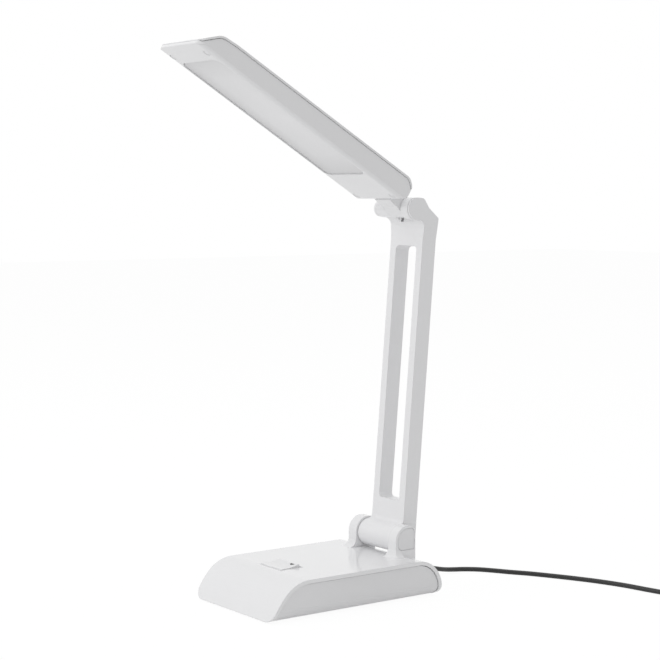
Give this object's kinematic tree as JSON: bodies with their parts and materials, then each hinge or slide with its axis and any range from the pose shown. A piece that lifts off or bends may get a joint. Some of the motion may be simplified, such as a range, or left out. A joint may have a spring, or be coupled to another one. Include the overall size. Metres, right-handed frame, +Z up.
{
  "type": "desk lamp",
  "caption": "Folding desk lamp with a wedge-nosed base and rocker switch, a slotted arm on a wide hinge, and a long flat light head with a frosted diffuser.",
  "frame": {"origin": "centre of the bounding box without the cord, on the table plane under the feet", "axes": "+Z up, the lamp faces -Y, the hinges turn about X"},
  "size_m": [0.2683, 0.4102, 0.4083],
  "materials": {
    "white_gloss": "gloss",
    "white_satin": "satin",
    "iron": "rough cast",
    "rubber": "matte",
    "steel": "zinc plated",
    "dark_steel": "blackened",
    "brass": "bright",
    "black_plastic": "matte",
    "board": "solder-mask",
    "wire": "smooth insulation",
    "diffuser": "frosted",
    "clear_plastic": "clear acrylic",
    "led": "smooth",
    "cord_black": "satin",
    "chrome": "nickel plated"
  },
  "bodies": {
    "base": {"base_shell": "white_gloss", "base_tray": "white_satin", "ballast_plate": "iron", "base_feet": "rubber", "base_screws": "steel", "driver_board": "board", "board_screws": "steel", "driver_transformer": "black_plastic", "driver_capacitors": "black_plastic", "base_wires": "wire", "lower_shaft": "steel", "lower_nut": "steel", "lower_washers": "dark_steel", "lower_caps": "white_satin", "strain_relief": "rubber", "cord": "cord_black", "cord_coil": "cord_black", "cord_tie": "black_plastic", "plug_body": "rubber", "plug_pins": "chrome", "switch_housing": "white_satin", "switch_terminals": "brass"},
    "switch": {"switch_rocker": "white_gloss", "rocker_mark": "black_plastic"},
    "arm": {"arm_frame": "white_satin", "arm_rear_cover": "white_satin", "arm_screws": "steel", "arm_wire": "wire", "upper_shaft": "steel", "upper_nut": "steel", "upper_washers": "dark_steel", "upper_cap": "white_satin"},
    "head": {"head_shell": "white_satin", "head_housing": "white_satin", "head_screws": "steel", "head_plugs": "white_satin", "diffuser": "diffuser", "light_guide": "clear_plastic", "led_board": "board", "leds": "led", "head_wire": "wire"}
  },
  "joints": [
    {"name": "arm_fold", "type": "hinge", "parent": "base", "child": "arm", "pos_m": [0, 0.0732, 0.0399], "axis": [1, 0, 0], "range_deg": [-10, 84]},
    {"name": "head_tilt", "type": "hinge", "parent": "arm", "child": "head", "pos_m": [0, 0.08819, 0.29012], "axis": [1, 0, 0], "range_deg": [-45, 116]},
    {"name": "switch_rock", "type": "hinge", "parent": "base", "child": "switch", "pos_m": [0, -0.023, 0.02455], "axis": [-1, 0, 0], "range_deg": [0, 15]}
  ]
}
